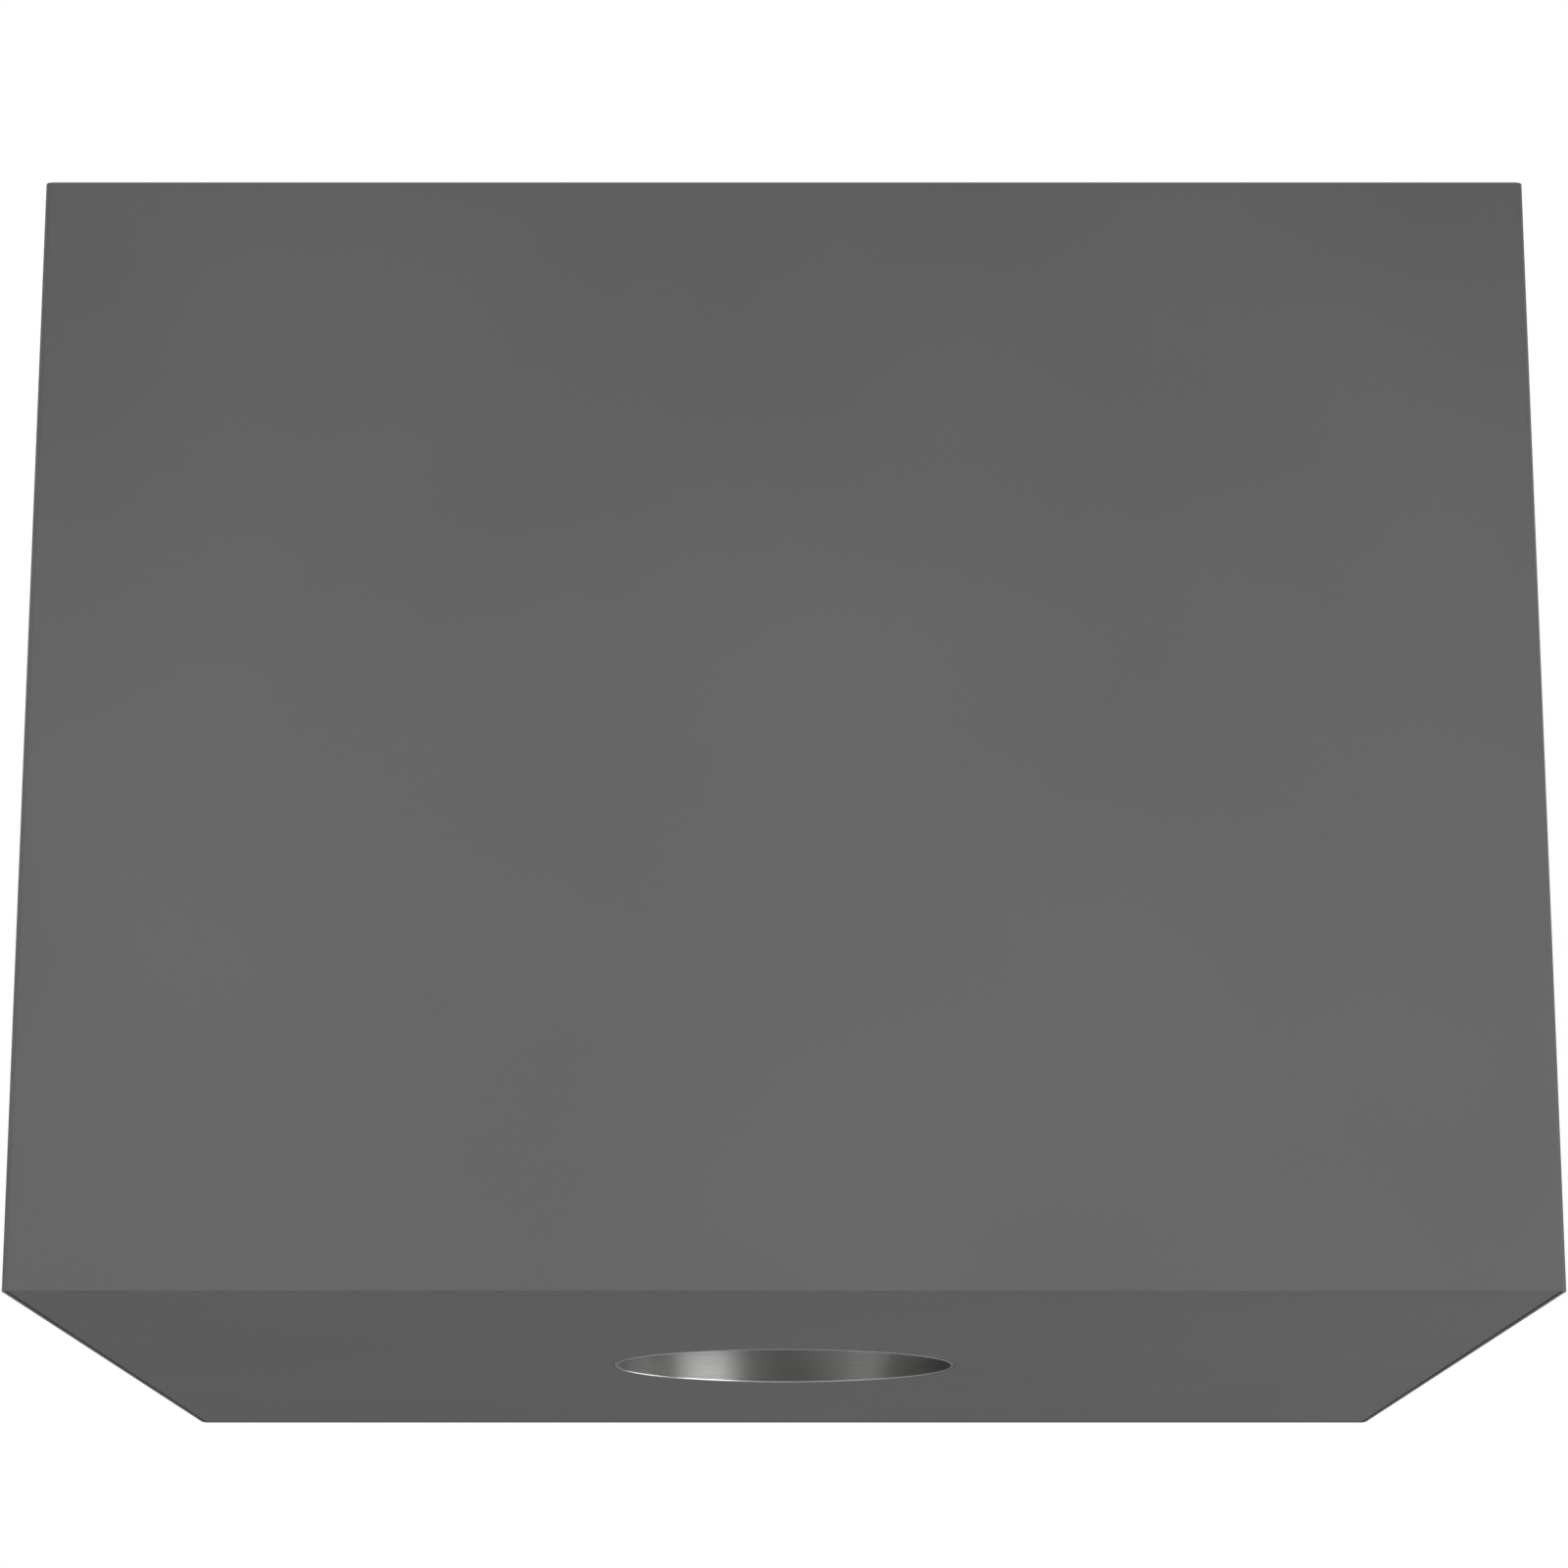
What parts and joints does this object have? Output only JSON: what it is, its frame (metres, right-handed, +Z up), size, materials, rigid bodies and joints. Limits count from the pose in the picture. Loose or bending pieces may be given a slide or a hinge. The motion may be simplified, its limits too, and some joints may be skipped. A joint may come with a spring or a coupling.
{
  "type": "range hood",
  "caption": "Box-shaped island range hood hung from the ceiling: round filtered throat in a drop-down bottom panel, tubular blower, damper collar and rear keys.",
  "frame": {"origin": "middle of the bottom face", "axes": "+Z up towards the ceiling, -Y towards the show side, +X to the right of it"},
  "size_m": [0.6096, 0.6096, 0.5072],
  "materials": {
    "powder_coat": "dark neutral grey powder coat on steel sheet, fine matt texture",
    "stainless": "bright stainless steel, fine brushing round the bore",
    "galvanised": "hot-dip galvanised steel sheet, dull with faint spangle",
    "zinc_plated": "bright zinc-plated steel",
    "aluminium": "plain mill-finish aluminium",
    "motor_steel": "dark machined and painted motor steel",
    "rubber": "black closed-cell rubber",
    "black_plastic": "moulded black ABS, satin",
    "grey_plastic": "moulded light grey polyamide"
  },
  "bodies": {
    "root": {"canopy_wrap": "powder_coat", "rear_panel": "powder_coat", "top_plate": "powder_coat", "rim_front": "galvanised", "rim_left": "galvanised", "rim_right": "galvanised", "mounting_rail_left": "galvanised", "mounting_rail_right": "galvanised", "hinge_fixed_leaf_left": "zinc_plated", "hinge_fixed_leaf_right": "zinc_plated", "hinge_pin_left": "zinc_plated", "hinge_pin_right": "zinc_plated", "magnet_catch_left": "black_plastic", "magnet_catch_right": "black_plastic", "blower_lower_shell": "galvanised", "blower_upper_shell": "galvanised", "clamp_band": "zinc_plated", "clamp_screw": "zinc_plated", "support_ring": "zinc_plated", "hanger_rod_1": "zinc_plated", "hanger_rod_2": "zinc_plated", "hanger_rod_3": "zinc_plated", "hanger_rod_4": "zinc_plated", "bearing_lower": "stainless", "bearing_upper": "stainless", "stator_core": "motor_steel", "motor_flange": "aluminium", "motor_spider": "galvanised", "outlet_collar": "galvanised", "collar_flange": "galvanised", "damper_pin": "stainless", "duct_sleeve": "aluminium", "hose_clamp_lower": "stainless", "hose_clamp_upper": "stainless", "terminal_box": "galvanised", "terminal_box_lid": "galvanised", "cable_gland": "grey_plastic", "capacitor": "aluminium", "capacitor_clip": "zinc_plated", "key_housing": "black_plastic"},
    "panel": {"bottom_panel": "powder_coat", "hinge_panel_leaf_left": "zinc_plated", "hinge_panel_leaf_right": "zinc_plated", "strike_plate_left": "zinc_plated", "strike_plate_right": "zinc_plated", "throat_ring": "stainless", "throat_gasket": "rubber"},
    "filter": {"filter_frame": "aluminium", "filter_mesh": "aluminium", "filter_handle": "stainless"},
    "impeller": {"impeller": "aluminium", "impeller_shroud": "aluminium", "rotor_can": "motor_steel", "motor_shaft": "motor_steel"},
    "damper_left": {"damper_flap_left": "aluminium"},
    "damper_right": {"damper_flap_right": "aluminium"},
    "key_1": {"key_1": "black_plastic"},
    "key_2": {"key_2": "black_plastic"},
    "key_3": {"key_3": "black_plastic"},
    "key_4": {"key_4": "black_plastic"}
  },
  "joints": [
    {"name": "bottom_panel_hinge", "type": "hinge", "parent": "root", "child": "panel", "pos_m": [0, 0.2988, 0.004], "axis": [1, 0, 0], "range_deg": [0, 90]},
    {"name": "filter_drop", "type": "slide", "parent": "panel", "child": "filter", "axis": [0, 0, -1], "range_m": [0, 0.1]},
    {"name": "impeller_spin", "type": "hinge", "parent": "root", "child": "impeller", "pos_m": [0, 0, 0.17], "axis": [0, 0, 1], "continuous": true},
    {"name": "damper_left_fold", "type": "hinge", "parent": "root", "child": "damper_left", "pos_m": [0, 0, 0.4252], "axis": [0, 1, 0], "range_deg": [0, 75]},
    {"name": "damper_right_fold", "type": "hinge", "parent": "root", "child": "damper_right", "pos_m": [0, 0, 0.4252], "axis": [0, -1, 0], "range_deg": [0, 75]},
    {"name": "key_1_press", "type": "slide", "parent": "root", "child": "key_1", "axis": [0, -1, 0], "range_m": [0, 0.0025], "stiffness_N_per_m": 400, "springref_m": -0.0015},
    {"name": "key_2_press", "type": "slide", "parent": "root", "child": "key_2", "axis": [0, -1, 0], "range_m": [0, 0.0025], "stiffness_N_per_m": 400, "springref_m": -0.0015},
    {"name": "key_3_press", "type": "slide", "parent": "root", "child": "key_3", "axis": [0, -1, 0], "range_m": [0, 0.0025], "stiffness_N_per_m": 400, "springref_m": -0.0015},
    {"name": "key_4_press", "type": "slide", "parent": "root", "child": "key_4", "axis": [0, -1, 0], "range_m": [0, 0.0025], "stiffness_N_per_m": 400, "springref_m": -0.0015}
  ]
}
